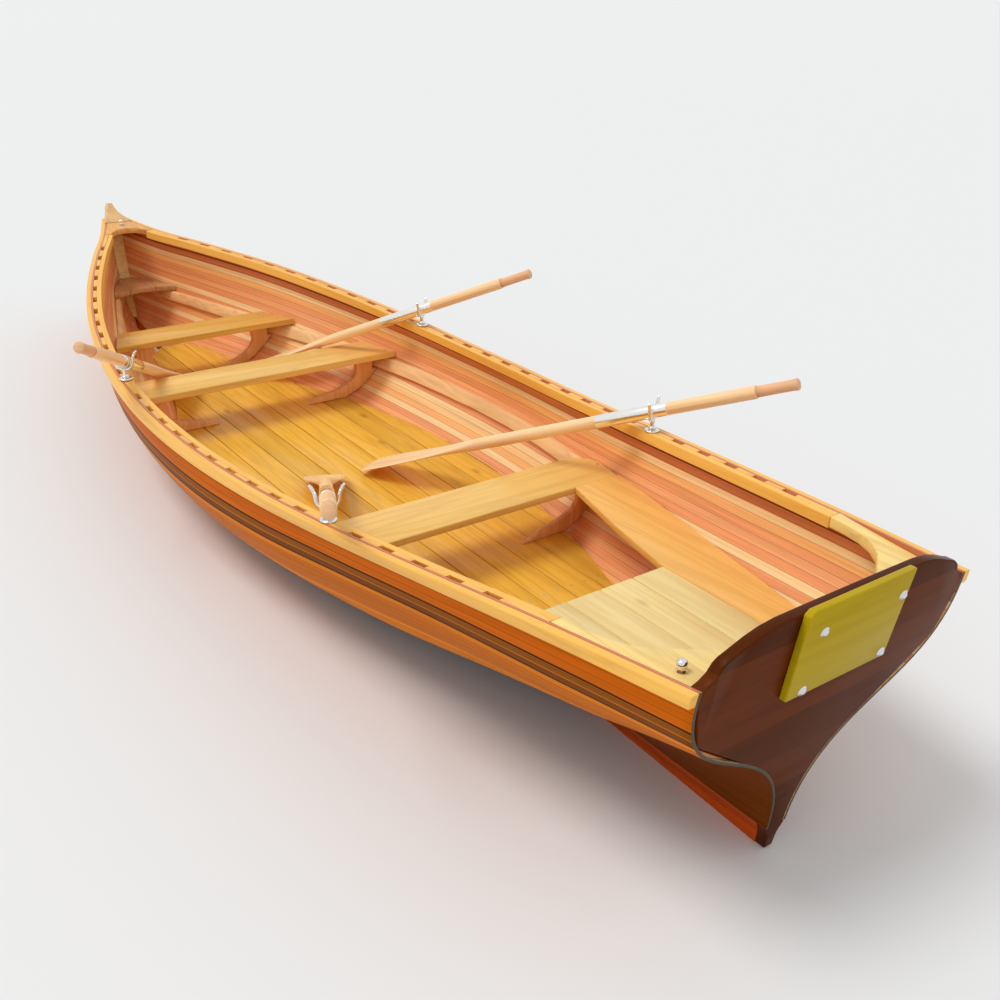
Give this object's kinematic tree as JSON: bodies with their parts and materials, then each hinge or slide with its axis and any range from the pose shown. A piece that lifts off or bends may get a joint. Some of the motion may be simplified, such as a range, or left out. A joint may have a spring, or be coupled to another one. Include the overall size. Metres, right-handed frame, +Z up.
{
  "type": "rowing boat",
  "caption": "Varnished strip-planked open rowing boat with wineglass transom, thwarts, stern benches, floorboards and oars in swivelling oarlocks.",
  "frame": {"origin": "amidships on the centreline at the load waterline", "axes": "+X to the bow, +Y to port, +Z up"},
  "size_m": [4.6058, 1.7604, 0.8551],
  "materials": {
    "planking": "gloss varnish",
    "top_planking": "gloss varnish",
    "gunwale_wood": "gloss varnish",
    "dark_wood": "gloss varnish",
    "keel_wood": "gloss varnish",
    "seat_wood": "satin varnish",
    "floor_wood": "satin varnish",
    "knee_wood": "satin varnish",
    "oar_wood": "gloss varnish",
    "pad_wood": "gloss varnish",
    "chrome": "polished"
  },
  "bodies": {
    "hull": {"sheer_strake_port": "top_planking", "sheer_strake_starboard": "top_planking", "riser_strake_port": "planking", "riser_strake_starboard": "planking", "bilge_strake_port": "planking", "bilge_strake_starboard": "planking", "bottom_strake_port": "planking", "bottom_strake_starboard": "planking", "garboard_port": "planking", "garboard_starboard": "planking", "outwales": "gunwale_wood", "inwales": "gunwale_wood", "gunwale_blocks": "gunwale_wood", "keel": "keel_wood", "skeg": "keel_wood", "stem": "gunwale_wood", "stem_head": "gunwale_wood", "inner_stem": "knee_wood", "transom": "dark_wood", "motor_pad": "pad_wood", "breasthook": "gunwale_wood", "quarter_knees": "gunwale_wood", "seat_risers": "seat_wood", "fore_thwart": "seat_wood", "mid_thwart": "seat_wood", "aft_thwart": "seat_wood", "side_benches": "seat_wood", "stern_sheet": "seat_wood", "bow_seat": "seat_wood", "floorboards": "floor_wood", "floor_bearers": "knee_wood", "thwart_knees": "knee_wood", "rail_knobs": "chrome", "oarlock_sockets": "chrome"},
    "oarlock_aft_port": {"oarlock_aft_port": "chrome"},
    "oar_aft_port": {"oar_aft_port": "oar_wood"},
    "oarlock_aft_starboard": {"oarlock_aft_starboard": "chrome"},
    "oar_aft_starboard": {"oar_aft_starboard": "oar_wood"},
    "oarlock_fore_port": {"oarlock_fore_port": "chrome"},
    "oar_fore_port": {"oar_fore_port": "oar_wood"},
    "oarlock_fore_starboard": {"oarlock_fore_starboard": "chrome"},
    "oar_fore_starboard": {"oar_fore_starboard": "oar_wood"}
  },
  "joints": [
    {"name": "aft_port_swivel", "type": "hinge", "parent": "hull", "child": "oarlock_aft_port", "pos_m": [-1.1, 0.574, 0.36893], "axis": [0, 0, 1], "range_deg": [0, 8]},
    {"name": "aft_port_tilt", "type": "hinge", "parent": "oarlock_aft_port", "child": "oar_aft_port", "pos_m": [-1.1, 0.574, 0.42893], "axis": [-0.4487, -0.8937, 0], "range_deg": [0, 28]},
    {"name": "aft_starboard_swivel", "type": "hinge", "parent": "hull", "child": "oarlock_aft_starboard", "pos_m": [-1.1, -0.574, 0.36893], "axis": [0, 0, -1], "range_deg": [0, 8]},
    {"name": "aft_starboard_tilt", "type": "hinge", "parent": "oarlock_aft_starboard", "child": "oar_aft_starboard", "pos_m": [-1.1, -0.574, 0.42893], "axis": [0.4487, -0.8937, 0], "range_deg": [0, 28]},
    {"name": "fore_port_swivel", "type": "hinge", "parent": "hull", "child": "oarlock_fore_port", "pos_m": [0.315, 0.614, 0.35599], "axis": [0, 0, -1], "range_deg": [0, 1.5]},
    {"name": "fore_port_tilt", "type": "hinge", "parent": "oarlock_fore_port", "child": "oar_fore_port", "pos_m": [0.315, 0.614, 0.41599], "axis": [-0.5424, -0.8401, 0], "range_deg": [0, 6]},
    {"name": "fore_starboard_swivel", "type": "hinge", "parent": "hull", "child": "oarlock_fore_starboard", "pos_m": [0.315, -0.614, 0.35599], "axis": [0, 0, 1], "range_deg": [0, 1.5]},
    {"name": "fore_starboard_tilt", "type": "hinge", "parent": "oarlock_fore_starboard", "child": "oar_fore_starboard", "pos_m": [0.315, -0.614, 0.41599], "axis": [0.5424, -0.8401, 0], "range_deg": [0, 6]}
  ]
}
